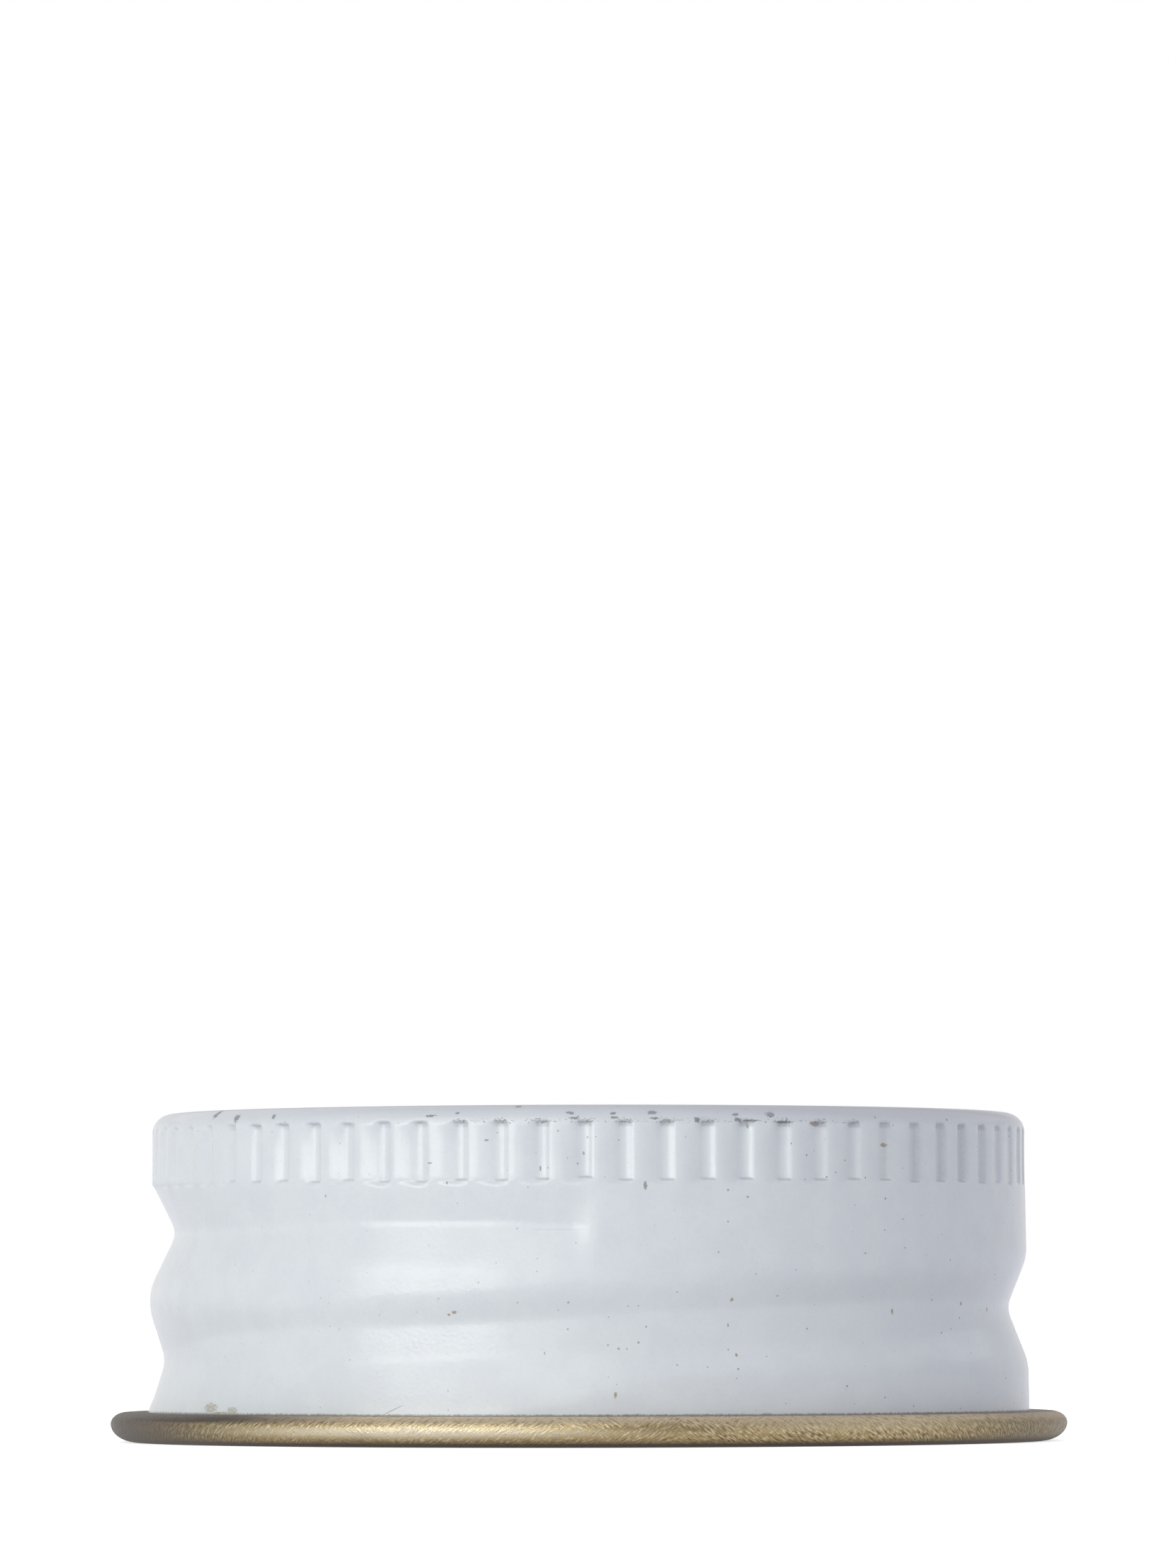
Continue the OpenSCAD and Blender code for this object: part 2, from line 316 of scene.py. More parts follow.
lacquered, bare = 1, 2  # the shell's kinds of finish, in the order of its materials; 0 is enamelled
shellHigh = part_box("shell")[1]
capShell = {
    "form": {
        "crownRadius": 14.295, "height": shellHigh[2] / mm, "sheet": 0.24, "shoulder": 0.64,
        # the wall widens evenly by the flare over its length, from its top downwards
        "flare": 0.122, "flareTop": 9.0, "flareLength": 8.0,
    },
    "groove": {
        # the floor, followed as one angle that counts on through its turns
        "lowFloor": 2.626, "lowAngle": -90, "pitch": 4.18, "sag": 0.342, "topFloor": 6.814,
        # (angle, depth) along the run, and its steep end
        "depths": [(-200, 0), (-90, 0.504), (-60, 0.32), (-42, 0.20), (-25, 0.187), (0, 0.265),
                   (30, 0.42), (90, 0.63), (270, 0.808), (300, 0.46), (330, 0.155), (355, 0.165)],
        "endRun": (361, -3.4),
        # heights of the flanks over and under the floor, and the shares of them that are rounded
        "flankUp": 1.968, "flankDown": 2.126, "crestRound": 0.324, "floorRound": 0.161,
        # across the front the floor is flat and wide between other flanks. A pair gives the values
        # on the left and on the right, which change over rightRun
        "frontRun": (88, -45), "rightRun": (-17, 33), "halfFlat": 0.46, "frontCrestRound": 0.5,
        "frontUp": (1.06, 1.45), "frontDown": (2.15, 1.1), "frontLift": (0.04, 0.08),
        # and the last part of the run is a sharp V, a little higher, over a soft crest
        "lateRun": (285, 40), "lateUp": 1.7, "lateDown": 1.75, "lateFloorRound": 0.10,
        "lateCrestRound": 0.38, "lateLift": 0.2, "lateLiftSpan": (305, 25, 368, 20),
        # how it fades out at the foot, over a shorter length across the front, and at the knurls
        "footRun": (0.731, 0.8), "frontFootLength": 0.22, "crownRun": (8.46, -0.22),
    },
    "knurl": {
        # how far the ring of slots is turned, and how far the slots on the left stray from it
        "count": 69, "turn": -0.6, "drift": -0.15, "driftSpan": (-180, 90, -7, 28),
        # a slot's foot and the height over which it sets in, its top and the slope of its ledge, and
        # the heights over which the lean runs out, under the foot and, outside the slot, to the top
        "foot": 8.33, "footRise": 0.07, "top": 10.22, "ledge": 0.1, "reach": 0.1, "topReach": 0.5,
        # across one slot and the land before it: distance from the middle, depth of the slot proper,
        # depth of the wide lean of the land that leads into it, and share of painted shade held
        "section": [(-0.80, 0, 0.005, 0), (-0.65, 0, 0.015, 0), (-0.50, 0, 0.040, 0),
                    (-0.36, 0, 0.071, 0), (-0.24, 0.016, 0.087, 0.1), (-0.15, 0.0505, 0.082, 0.3),
                    (-0.06, 0.0765, 0.070, 0.6), (0.01, 0.0885, 0.057, 0.9), (0.06, 0.091, 0.0475, 1),
                    (0.11, 0.0865, 0.036, 1), (0.16, 0.0715, 0.0245, 1), (0.21, 0.0455, 0.0145, 1),
                    (0.26, 0.0205, 0.0065, 0.8), (0.32, 0.008, 0.0015, 0.35)],
        # the depth at which a slot counts as one
        "slotDepth": 0.03,
        # what the lean and the slots lose round the wall: (start, run, loss), a gain where negative
        "leanLosses": [(25, 20, 0.7)],
        "slotLosses": [(-33, -8, -0.4), (-48, -8, 0.8), (58, 14, 0.5)],
        # seed of the draws; spread of each slot's own turn, foot, top and depth, and the power of the
        # slot's share of its full depth by which it has the last three
        "seed": 7, "unevenTurn": 0.08, "uneven": {"foot": 0.03, "top": 0.015, "depth": 0.06},
        "unevenPower": 0.3,
    },
    "curl": {
        # quarter ellipses over and under the nose, each as far in as its reach, and a quarter circle
        # at the mouth
        "footInner": 14.18, "height": 0.985, "noseRadius": shellHigh[0] / mm, "noseHeight": 0.603,
        "overReach": 0.511, "underReach": 0.88, "mouthBend": 0.498,
        # the cut edge lies against the wall, with its corners bevelled, before a flat lip
        "edgeRadius": 14.47, "bevel": 0.02, "lip": 0.3,
    },
    "rows": {
        # the grid: radii on the panel, angles round the shoulder, then heights down the wall, where
        # the thread's are stretches of (first, last, number of rows)
        "panel": (6.5, 12.4, 13.2, 13.5), "shoulder": (0, 13, 26, 38),
        "bandShoulder": (48, 57, 65, 72, 78),
        "band": (10.16, 10.125, 10.09, 10.05, 9.98, 9.85, 9.5, 9.1, 8.75, 8.55, 8.45, 8.41, 8.385,
                 8.36, 8.335, 8.305, 8.26, 8.19, 8.1, 8.0, 7.9),
        "thread": [(7.8, 7.2, 6), (7.1, 6.7, 15), (6.6, 1.0, 51)],
        # where the columns move from the knurls' spacing to an even one, and where the rows follow
        # each slot's own foot
        "evenRun": (7.8, -1.0), "footSpan": (7.9, 0.4, 9, 0.5),
        # points on the curl's quarter ellipses, in the hollow and outside, and columns round the
        # curl, and round its hollow and the thread's inside
        "hollowPoints": (4, 5, 4), "curlPoints": (9, 11, 7),
        "curlColumns": 360, "hiddenColumns": 240,
        # the inner face, which lies up to this many sheets further in where the wall slopes
        "insideThread": (0.7, 7.6, 34), "mostSheets": 1.4,
        "insideBand": (7.75, 7.9, 8.1, 8.22, 8.3, 8.38, 8.46, 8.6, 9.0, 9.5, 9.95, 10.03, 10.08),
        "insideShoulder": (15, 35, 55, 75, 90), "insidePanel": (12.5, 6.5),
        # where the lacquer's pattern is counted from on the curl and on each part of the inner face
        "patternStarts": {"curl": 30, "wall": 36, "shoulder": 47, "panel": 61},
    },
    "soil": {
        # wear of the edge over the slots: heights, strength, and what the front and the slots add
        "edgeSpan": (10.02, 0.1, 10.45, 0.17), "edgeWear": 0.76,
        "frontSpan": (-24, 10, 44, 10), "frontWear": 0.15, "slotWear": 0.13,
        # painted shade in the slots: heights, where it sets in round the wall, and what it loses further
        # on
        "slotSpan": (8.35, 0.1, 10.2, 0.1), "grimeRun": (32, 16), "grimeLosses": [(54, 16, 0.55)],
        # and lines of painted shade at their tops and feet: heights, slot depths that hold them, and
        # strength, which grows to the right by (start, run, more)
        "topSpan": (9.96, 0.1, 10.22, 0.05), "footSpan": (8.31, 0.04, 8.43, 0.05), "footShare": 0.8,
        "lineRun": (0.01, 0.03), "lineStrength": 0.6, "lineGains": [(-32, 20, 0.4), (-5, 40, 0.35)],
    },
    "enamel": {
        "pale": (0.724, 0.766, 0.787), "cool": (0.703, 0.74, 0.773), "clouded": (0.5, 0.55, 0.62),
        # the dark brown is dirt, and also painted shade in the corner over the curl
        "dirtAndShade": (0.20, 0.18, 0.15), "rust": (0.30, 0.21, 0.10), "tin": (0.14, 0.14, 0.15),
        # the first grey here is painted shade in the knurl slots, and the last is painted shade on the
        # shoulder and panel
        "grime": (0.30, 0.32, 0.36), "fuzz": (0.36, 0.31, 0.21), "shoulderShade": (0.50, 0.50, 0.56),
        "roughness": 0.20, "roughSpread": 0.08, "chipRough": 0.35, "ior": 1.5,
        # noises: scale in 1/mm, detail and roughness
        "fine": (9, 3, 0.6), "mottle": (0.9, 3, 0.55), "ragged": (16, 3, 0.7), "flecks": (12, 3, 0.7),
        "peel": (1.6, 2, 0.5), "grain": (8, 2, 0.5), "ripple": (7, 1, 0.5),
        "scratch": (1, 2, 0.4), "scratched": (0.5, 1, 0.5),
        # how far the noises spread: limits of their ramps
        "mottleRamp": (0.35, 0.65), "cloudRamp": (0.4, 0.75), "grimeRamp": (0.0, 1.0, 0.28, 0.44),
        "fleckRamp": (0.53, 0.58), "fuzzRamp": (0.38, 0.6, 0.15, 0.9), "scratchRamp": (0.66, 0.72),
        "scratchedRamp": (0.45, 0.65), "raggedness": 2.2, "chipRaggedness": 1.6,
        # turn and stretch of the scratches, and stretch of the flecks
        "scratchTurn": 34, "scratchStretch": (0.5, 26, 1), "fleckStretch": (1, 1.8, 1),
        # strengths of the layers
        "cloudShare": 0.09, "rustShare": 0.75, "greyShare": 0.7, "chipShare": 0.8, "wornShare": 0.85,
        "cornerShadeShare": 0.85,
        # scattered specks, fainter on the left: cells in 1/mm, share without one, greatest radius and
        # strength, and the angle's ramp in radians
        "specks": [(3.2, 0.25, 0.055, 0.7), (1.1, 0.3, 0.06, 0.9)],
        "speckRamp": (1.0, 0.6), "sideRamp": (-0.5, 0.2, 0.35, 1.0),
        # heights over which chips end at the panel, painted shade on the shoulder begins, painted shade
        # fills the corner over the curl and the ripple ends; unevenness of the corner; the shoulder's
        # painted shade by the share of the radius to the right
        "chipHeights": (10.698, 10.66), "shoulderShadeHeights": (10.05, 10.64), "cornerShadeHeights": (1.06, 0.985),
        "rippleHeights": (8.4, 7.9), "cornerShadeUneven": 0.12, "shoulderShadeRamp": (-0.2, 0.78, 0.31, 0.72),
        # strength and height in mm of each bump
        "bumps": {"peel": (0.35, 0.012), "grain": (0.5, 0.006), "ripple": (1.0, 0.005),
                  "scratches": (0.35, 0.004), "chips": (0.6, 0.02)},
        # two strokes: first end, last end, half width and strength
        "strokes": [((-26.8, 0.99), (-23.7, 1.34), 0.018, 0.6),
                    ((-7.8, 6.80), (-0.3, 6.79), 0.018, 0.14)],
        # patches: angle, height, half angle and half height
        "smudge": [(-57.2, 1.18, 1.6, 0.17), (-52.1, 1.11, 1.1, 0.12), (-54.6, 1.02, 2.8, 0.06)],
        "chips": [(-57.6, 10.545, 0.5, 0.12), (-52.1, 10.40, 0.5, 0.12), (-44.7, 10.42, 0.3, 0.07),
                  (-20.3, 10.36, 0.6, 0.035), (-16.8, 10.44, 0.25, 0.03), (-9.0, 10.64, 0.35, 0.03),
                  (-2.3, 10.43, 0.45, 0.05), (-1.7, 10.27, 0.65, 0.035), (3.1, 10.41, 0.35, 0.04),
                  (3.3, 10.28, 0.55, 0.035), (8.1, 10.44, 0.6, 0.05), (8.3, 10.26, 0.45, 0.03),
                  (13.8, 10.22, 0.35, 0.08), (18.9, 10.39, 0.4, 0.04), (19.1, 10.23, 0.45, 0.06),
                  (20.9, 10.2, 0.9, 0.03), (23.6, 10.38, 0.6, 0.08), (25.3, 10.16, 1.1, 0.035)],
        "brown": [(30.0, 10.11, 0.8, 0.08), (53.3, 10.31, 0.25, 0.04), (41.0, 9.47, 0.6, 0.07),
                  (-0.6, 9.17, 0.12, 0.06), (20.6, 10.03, 0.14, 0.08), (26.5, 9.49, 0.1, 0.04),
                  (-17.2, 4.22, 0.35, 0.05), (-17.9, 4.14, 0.2, 0.03), (3.3, 1.63, 0.2, 0.09),
                  (18.1, 3.8, 0.12, 0.05), (18.5, 4.6, 0.25, 0.05), (43.7, 4.21, 0.2, 0.09),
                  (59.3, 4.47, 0.25, 0.08), (68.1, 4.27, 0.3, 0.08), (19.0, 2.87, 0.16, 0.06)],
        "grey": [(7.1, 8.16, 0.25, 0.13), (-18.1, 8.26, 0.14, 0.05), (-35.6, 7.89, 0.12, 0.05),
                 (-12.9, 9.59, 0.3, 0.03), (-20.4, 8.88, 0.3, 0.025), (-6.1, 8.7, 0.12, 0.08),
                 (7.3, 3.75, 0.1, 0.04), (-5.6, 2.93, 0.08, 0.05)],
    },
    "lacquer": {
        "gold": (0.425, 0.33, 0.168), "tan": (0.78, 0.62, 0.445), "bright": (0.79, 0.695, 0.50),
        # the dark brown stain is also painted shade under the nose and in the crevice at the wall, and
        # the near black is a painted contact shadow on the underside
        "stainAndShade": (0.125, 0.08, 0.048), "dark": (0.10, 0.08, 0.06), "under": (0.03, 0.02, 0.015),
        # the cream is a painted highlight on the nose at the front left
        "highlightCream": (0.88, 0.82, 0.67), "roughness": 0.43, "roughSpread": 0.3,
        # two families of crossing scratches: their turns, stretch and noise, and the other noises
        "turns": (42, -38), "stretch": (4, 17, 1), "scratch": (1, 2, 0.55),
        "patches": (0.35, 2, 0.5), "pits": (9, 3, 0.7),
        # which family shows: limits of its ramp, and how the angle shifts it
        "familyRamp": (0.38, 0.62), "familyShift": 0.15,
        # heights over which gold turns to tan, and over which painted shade falls under the nose, as a
        # contact shadow on the underside and in the crevice at the wall
        "tanHeights": (0.64, 0.94), "noseShadeHeights": (0.30, 0.06), "contactShadowHeights": (0.17, 0.04),
        "creviceShadeHeights": (0.955, 0.985),
        # limits of the ramps of the scratches' bright and dark sides, of the patches and of the pits
        "brightRamp": (0.50, 0.62), "darkRamp": (0.47, 0.36), "patchRamp": (0.55, 0.75),
        "pitRamp": (0.58, 0.70),
        # strengths of the layers
        "brightShare": 0.7, "darkShare": 0.75, "palerShare": 0.35, "tarnishShare": 0.45,
        "noseHighlightShare": 0.6, "patchShare": 0.3, "noseShadeShare": 0.85, "pitShare": 0.5, "creviceShadeShare": 0.7,
        "contactShadowShare": 0.8,
        # patches paler and tarnished, and a painted highlight on the nose at the front left: angle,
        # height, half angle and half height, with the soft edge that all have and how ragged each kind is
        "paler": [(33, 0.72, 22, 0.25), (-10, 0.82, 22, 0.14)], "tarnished": [(8.5, 0.6, 9, 0.14)],
        "noseHighlight": [(-21, 0.47, 24, 0.19)], "softEdge": (1.3, 0.2),
        "palerRagged": 1.2, "tarnishRagged": 1.6, "noseHighlightRagged": 3.0,
        # soiled on the upper left, its limit made uneven by the patches, and painted shade towards both
        # ends from a middle a little left of the front, more at the left end: angles, heights, strengths
        "soilStart": 46, "soilUneven": 16, "soilRamp": (30, 8), "soilHeights": (0.64, 0.86),
        "soilShare": 0.75, "endMiddle": -4, "endRamp": (40, 72), "endShare": 0.5,
        "leftRamp": (36, 60), "leftShare": 0.5,
        "bumps": {"weave": (1.0, 0.035), "pits": (0.5, 0.02)},
    },
    "tin": {
        "pale": (0.5, 0.49, 0.46), "dull": (0.36, 0.34, 0.31), "grain": (12, 2, 0.6), "roughness": 0.4,
    },
}


def frontShare(angle, groove):
    # 1 across the front, 0 behind: a step of the angle's size
    return step(np.abs(angle), *groove["frontRun"])


def rightShare(angle, groove):
    # 0 on the left of the front, 1 on the right: a step of the angle
    return step(angle, *groove["rightRun"])


def grooveFloor(angle, groove):
    # a helix less a sag of half a cosine that is greatest half a turn on, lifted across the front,
    # up to a level top that is lifted near its end
    risen = angle - groove["lowAngle"]
    sag = groove["sag"] * (1 - np.cos(np.radians(risen))) / 2
    lift = between(rightShare(angle, groove), *groove["frontLift"]) * frontShare(angle, groove)
    helix = groove["lowFloor"] + groove["pitch"] * risen / 360 - sag + lift
    level = groove["topFloor"] + groove["lateLift"] * window(angle, *groove["lateLiftSpan"])
    return np.minimum(helix, level)


def grooveDepth(angle, groove):
    # read along the run, times a steep smooth end
    places, depths = zip(*groove["depths"])
    return np.interp(angle, places, depths) * step(angle, *groove["endRun"])


def flankShare(share, crestRound, floorRound):
    # a straight slope from 0 to 1, with a parabola over the first and over the last share of it
    share = np.clip(share, 0, 1)
    steepness = 1 / (1 - crestRound / 2 - floorRound / 2)
    crest = steepness * share * share / (2 * crestRound)
    floor = 1 - steepness * (1 - share) ** 2 / (2 * floorRound)
    slope = steepness * (share - crestRound / 2)
    return np.where(share < crestRound, crest, np.where(share > 1 - floorRound, floor, slope))


def grooveAt(angle, height, groove):
    # the sum over the passes of depth x flank share of the height from the floor, faded out at
    # the foot and under the knurls
    total = 0
    for turns in (-360, 0, 360):
        run = angle + turns
        front, right = frontShare(run, groove), rightShare(run, groove)
        late = step(run, *groove["lateRun"])
        floorRound = between(late, groove["floorRound"], groove["lateFloorRound"])
        crestAbove = between(front, groove["crestRound"], groove["frontCrestRound"])
        crestBelow = between(late, groove["crestRound"], groove["lateCrestRound"])
        up = between(front, groove["flankUp"], between(right, *groove["frontUp"]))
        up = between(late, up, groove["lateUp"])
        down = between(front, groove["flankDown"], between(right, *groove["frontDown"]))
        down = between(late, down, groove["lateDown"])
        away = height - grooveFloor(run, groove)
        halfFlat = groove["halfFlat"] * front
        above = flankShare(1 - (away - halfFlat) / up, crestAbove, floorRound)
        below = flankShare(1 + (away + halfFlat) / down, crestBelow, floorRound)
        total = total + grooveDepth(run, groove) * np.where(away > 0, above, below)
    footStart, footLength = groove["footRun"]
    footLength = between(frontShare(angle, groove), footLength, groove["frontFootLength"])
    return total * step(height, footStart, footLength) * step(height, *groove["crownRun"])


def knurlColumns(knurl, radius):
    # one column for each row of the section in every slot, at the slot's middle + the distance / radius,
    # with its slot, lean and share of painted shade, and how uneven the slot's foot, top and depth are.
    # The middles stand 360 / count apart, with the turn, the drift and a small draw of each slot's own
    luck = np.random.default_rng(knurl["seed"])
    count = knurl["count"]
    centre = knurl["turn"] + 360 / count * (np.arange(count) - count // 2)
    centre = centre + knurl["drift"] * window(centre, *knurl["driftSpan"])
    centre = centre + luck.normal(0, knurl["unevenTurn"], count)
    distance, slot, lean, grime = np.array(knurl["section"]).T
    angle = (centre[:, None] + np.degrees(distance / radius)[None, :]).ravel()
    side = foldedBack(angle)
    columns = {"angle": angle, "grime": np.tile(grime, count),
               "slot": lessened(np.tile(slot, count), side, knurl["slotLosses"]),
               "lean": lessened(np.tile(lean, count), side, knurl["leanLosses"])}
    inSlot = np.tile((slot / slot.max()) ** knurl["unevenPower"], count)
    for name, spread in knurl["uneven"].items():
        columns[name] = np.repeat(luck.normal(0, spread, count), len(distance)) * inSlot
    return columns


def knurlAt(height, at, knurl):
    # (slot x its crisp foot and sloping top ledge + lean x its run out below the foot, and towards
    # the top wherever it lies outside the slot) x (1 + the slot's own unevenness)
    foot, top = knurl["foot"] + at["foot"], knurl["top"] + at["top"]
    ledge = step(height, top, -knurl["ledge"])
    crisp = step(height, foot, knurl["footRise"]) * ledge
    runOut = step(height, top, -knurl["topReach"])
    soft = step(height, foot - knurl["reach"], knurl["reach"])
    soft = soft * between(step(at["slot"], 0, knurl["slotDepth"]), runOut, ledge)
    return (at["slot"] * crisp + at["lean"] * soft) * (1 + at["depth"])


def wallRadius(height, form):
    # the crown's radius, widening evenly below flareTop
    widened = np.clip((form["flareTop"] - height) / form["flareLength"], 0, 1)
    return form["crownRadius"] + form["flare"] * widened


def shoulderCentre(form):
    # radius and height of the middle of the shoulder's quarter circle
    return form["crownRadius"] - form["shoulder"], form["height"] - form["shoulder"]


def wearAndSlotShade(heights, at, soil):
    # wear: its heights x (its strength, more across the front and more in the slots). Painted shade: the
    # greater of what the slots hold on the right and of the shaded lines at their tops and feet
    side = foldedBack(at["angle"])
    wear = soil["edgeWear"] + soil["frontWear"] * window(at["angle"], *soil["frontSpan"])
    wear = wear + soil["slotWear"] * at["slot"] / at["slot"].max()
    held = lessened(at["grime"] * step(side, *soil["grimeRun"]), side, soil["grimeLosses"])
    gains = sum(more * step(side, start, run) for start, run, more in soil["lineGains"])
    lines = window(heights, *soil["topSpan"]) + soil["footShare"] * window(heights, *soil["footSpan"])
    lines = lines * step(at["slot"], *soil["lineRun"]) * (soil["lineStrength"] + gains)
    grime = np.maximum(held * window(heights, *soil["slotSpan"]), lines)
    return wear * window(heights, *soil["edgeSpan"]), grime


def layCrown(rings, columns, shell):
    # the panel, flat, and the first part of the shoulder's quarter circle
    form, rows = shell["form"], shell["rows"]
    bend, bendTop = shoulderCentre(form)
    rings.lay(pole(form["height"]))
    for radius in rows["panel"]:
        rings.lay(ringPoints(columns["angle"], radius, form["height"]))
    for turn in np.radians(rows["shoulder"]):
        rings.lay(ringPoints(columns["angle"], bend + form["shoulder"] * math.sin(turn),
                             bendTop + form["shoulder"] * math.cos(turn)))


def layBand(rings, columns, shell):
    # the rest of the shoulder and the knurled wall: the plain radius less the groove and knurls,
    # on rows that follow each slot's own foot
    form, rows = shell["form"], shell["rows"]
    bend, bendTop = shoulderCentre(form)
    onShoulder = bendTop + form["shoulder"] * np.cos(np.radians(rows["bandShoulder"]))
    heights = np.concatenate([onShoulder, rows["band"]])[:, None]
    rise = np.clip((heights - bendTop) / form["shoulder"], 0, 1)
    shoulder = bend + form["shoulder"] * np.sqrt(1 - rise ** 2)
    plain = np.where(heights > bendTop, shoulder, wallRadius(heights, form))
    moved = heights + columns["foot"] * window(heights, *rows["footSpan"])
    pressed = grooveAt(columns["angle"], moved, shell["groove"])
    pressed = pressed + knurlAt(moved, columns, shell["knurl"])
    wear, grime = wearAndSlotShade(heights, columns, shell["soil"])
    for points, worn, held in zip(ringPoints(columns["angle"], plain - pressed, moved), wear, grime):
        rings.lay(points, wear=worn, grime=held)


def layThread(rings, columns, shell):
    # the wall below: the plain radius less the groove, on columns eased to an even spacing
    form, rows = shell["form"], shell["rows"]
    heights = np.concatenate([np.linspace(*part) for part in rows["thread"]])[:, None]
    even = evenAngles(columns["angle"][0], len(columns["angle"]))
    angles = between(step(heights, *rows["evenRun"]), columns["angle"], even)
    radius = wallRadius(heights, form) - grooveAt(angles, heights, shell["groove"])
    for points in ringPoints(angles, radius, heights):
        rings.lay(points)


def layCurl(rings, start, shell):
    # three quarter ellipses, at the mouth, under the nose and over it: first the face within the
    # hollow, then the bevelled cut edge, and back along the outer face, a sheet's thickness outside
    curl, rows, sheet = shell["curl"], shell["rows"], shell["form"]["sheet"]
    rise, bend, edge, bevel = curl["noseHeight"], curl["mouthBend"], curl["edgeRadius"], curl["bevel"]
    underReach, overReach, overRise = curl["underReach"], curl["overReach"], curl["height"] - rise
    mouth = curl["footInner"] + bend
    under, over = curl["noseRadius"] - underReach, curl["noseRadius"] - overReach
    first, second, third = rows["hollowPoints"]
    hollow = np.concatenate([
        ellipse(mouth, bend, bend - sheet, bend - sheet, 180, 270, first),
        ellipse(under, rise, underReach - sheet, rise - sheet, 270, 360, second),
        ellipse(over, rise, overReach - sheet, overRise - sheet, 0, 90, third)[1:],
    ])
    for radius, height in hollow:
        rings.lay(ringPoints(evenAngles(start, rows["hiddenColumns"]), radius, height))
    around = evenAngles(start, rows["curlColumns"])
    top, low = curl["height"], curl["height"] - sheet
    for radius, height in ((edge + bevel, low), (edge, low + bevel), (edge, top - bevel)):
        rings.lay(ringPoints(around, radius, height), bare)
    first, second, third = rows["curlPoints"]
    outer = np.concatenate([
        [[edge + bevel, top], [edge + curl["lip"], top]],
        ellipse(over, rise, overReach, overRise, 90, 0, first),
        ellipse(under, rise, underReach, rise, 0, -90, second)[1:],
        ellipse(mouth, bend, bend, bend, 270, 180, third),
    ])
    lengths = np.hypot(*np.diff(outer, axis=0).T)
    along = rows["patternStarts"]["curl"] + np.concatenate([[0], np.cumsum(lengths)])
    for (radius, height), run in zip(outer, along):
        rings.lay(ringPoints(around, radius, height), lacquered, run=run)


def layInnerWall(rings, angles, heights, pressed, shell):
    # the outer face less the sheet x sqrt(1 + slope^2), a factor held to mostSheets
    rows = shell["rows"]
    wall = wallRadius(heights, shell["form"])[:, None] - pressed
    slope = np.gradient(wall, heights, axis=0)
    wall = wall - shell["form"]["sheet"] * np.sqrt(1 + slope ** 2).clip(1, rows["mostSheets"])
    for points, height in zip(ringPoints(angles, wall, heights[:, None]), heights):
        rings.lay(points, lacquered, run=rows["patternStarts"]["wall"] + height)


def layInside(rings, columns, shell):
    # thread, knurls, corner and panel as seen from within, from the foot up
    form, rows = shell["form"], shell["rows"]
    angles = evenAngles(columns["angle"][0], rows["hiddenColumns"])
    heights = np.linspace(*rows["insideThread"])
    layInnerWall(rings, angles, heights, grooveAt(angles, heights[:, None], shell["groove"]), shell)
    angles, heights = columns["angle"], np.array(rows["insideBand"])
    pressed = grooveAt(angles, heights[:, None], shell["groove"])
    pressed = pressed + knurlAt(heights[:, None], columns, shell["knurl"])
    layInnerWall(rings, angles, heights, pressed, shell)
    bend, bendTop = shoulderCentre(form)
    corner, ceiling = form["shoulder"] - form["sheet"], form["height"] - form["sheet"]
    starts = rows["patternStarts"]
    for turn in np.radians(rows["insideShoulder"]):
        rings.lay(ringPoints(angles, bend + corner * math.cos(turn), bendTop + corner * math.sin(turn)),
                  lacquered, run=starts["shoulder"] + corner * turn)
    for radius in rows["insidePanel"]:
        rings.lay(ringPoints(angles, radius, ceiling), lacquered, run=starts["panel"] - radius)
    rings.lay(pole(ceiling), lacquered, run=starts["panel"])


def shellRings(shell):
    # outside from the middle of the panel to the foot, round the curl, and inside back to the
    # middle. The knurls' outside has a column for each row of their section, and the crown, the
    # thread's outside and the knurls' inside have every other
    columns = knurlColumns(shell["knurl"], shell["form"]["crownRadius"])
    everyOther = {name: values[::2] for name, values in columns.items()}
    rings = Rings("wear", "run", "grime")
    layCrown(rings, everyOther, shell)
    layBand(rings, columns, shell)
    layThread(rings, everyOther, shell)
    layCurl(rings, columns["angle"][0], shell)
    layInside(rings, everyOther, shell)
    return rings


def specks(finish, point, side, look):
    # (share, colour) for each layer of specks: a dot about the point of each cell of a pattern, its
    # radius a smooth step of the cell's own chance, with none in some of the cells
    layers = []
    more = side.ramp(*look["sideRamp"])
    for scale, without, size, strength in look["specks"]:
        cells = finish.node("ShaderNodeTexVoronoi", {"voronoi_dimensions": "3D", "feature": "F1"},
                            {"Vector": point, "Scale": scale})
        luck = finish.apart(cells.out("Color")).out("X")
        tiny = 0.0001  # keeps the division below from meeting 0
        reach = (luck - without).ramp(0, 1) * size * scale
        speck = (cells / (reach + tiny)).ramp(*look["speckRamp"])
        layers.append((speck * more * strength, look["dirtAndShade"]))
    return layers


